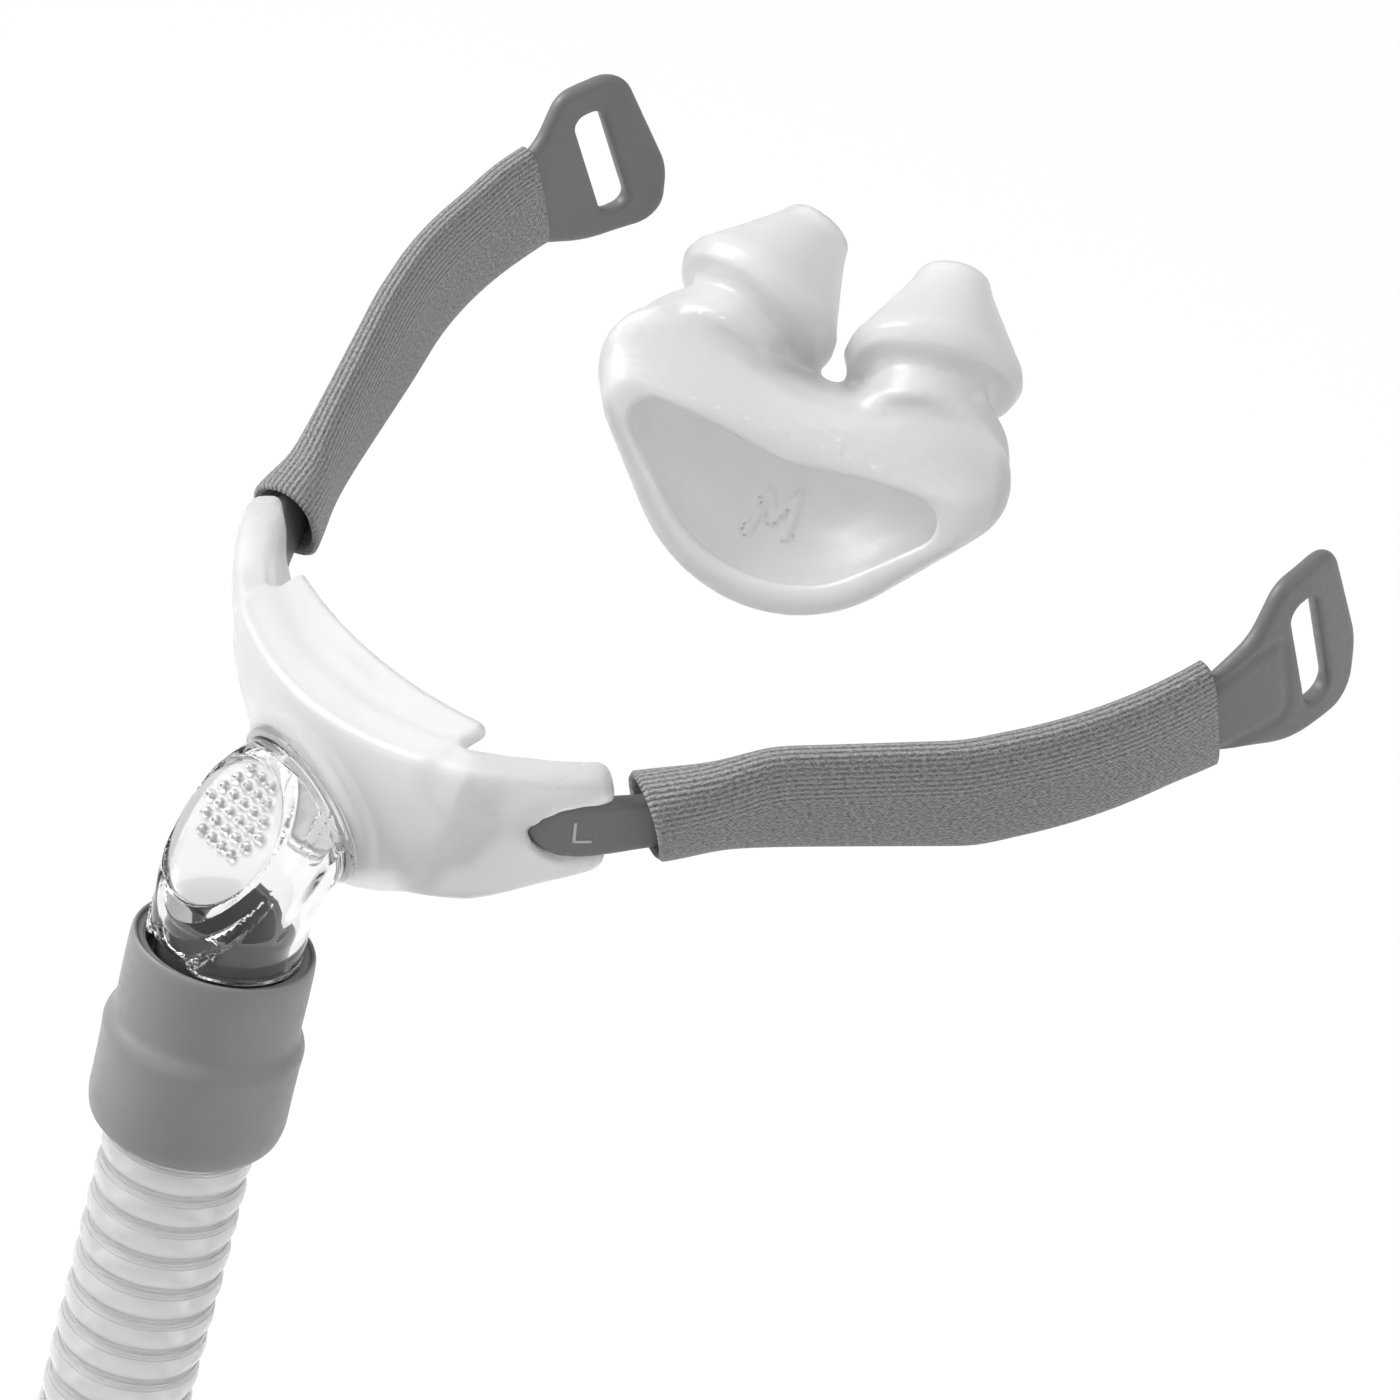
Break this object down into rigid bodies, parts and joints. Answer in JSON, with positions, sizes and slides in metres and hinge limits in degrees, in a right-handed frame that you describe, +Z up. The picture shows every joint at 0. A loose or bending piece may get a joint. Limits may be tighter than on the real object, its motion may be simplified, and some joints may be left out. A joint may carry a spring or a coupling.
{
  "type": "cpap mask",
  "caption": "Nasal pillows mask with wrap-round frame, side arms in cloth sleeves, swivel elbow with vent, short ringed hose and detached silicone cushion.",
  "frame": {"origin": "middle of the frame's docking port, at its rear face on the mask's own centre plane", "axes": "+X to the wearer's left, +Y from the mouth side back to the head, +Z up"},
  "size_m": [0.161, 0.2306, 0.3615],
  "materials": {
    "frosted_clear": "frosted, translucent",
    "clear": "clear polished plastic",
    "cuff_grey": "soft matte",
    "dark_grey": "satin",
    "hose_clear": "clear, ringed",
    "arm_grey": "satin",
    "sleeve_grey": "fine knit",
    "silicone": "frosted translucent silicone"
  },
  "bodies": {
    "mask": {"mask_frame": "frosted_clear", "arm_left": "arm_grey", "arm_right": "arm_grey", "sleeve_left": "sleeve_grey", "sleeve_right": "sleeve_grey", "cushion": "silicone"},
    "elbow": {"elbow": "clear"},
    "tube": {"swivel_connector": "dark_grey", "hose_cuff": "cuff_grey", "hose": "hose_clear", "far_cuff": "cuff_grey"},
    "far_end": {"far_connector": "dark_grey"}
  },
  "joints": [
    {"name": "elbow_swivel", "type": "hinge", "parent": "mask", "child": "elbow", "pos_m": [0, -0.0129, -0.0045], "axis": [0, 1, 0], "continuous": true},
    {"name": "tube_swivel", "type": "hinge", "parent": "elbow", "child": "tube", "pos_m": [0, -0.02737, -0.01533], "axis": [0, -0.4305, -0.9026], "continuous": true},
    {"name": "far_end_swivel", "type": "hinge", "parent": "tube", "child": "far_end", "pos_m": [0, -0.10665, -0.30314], "axis": [0, -0.0175, -0.9998], "continuous": true}
  ]
}
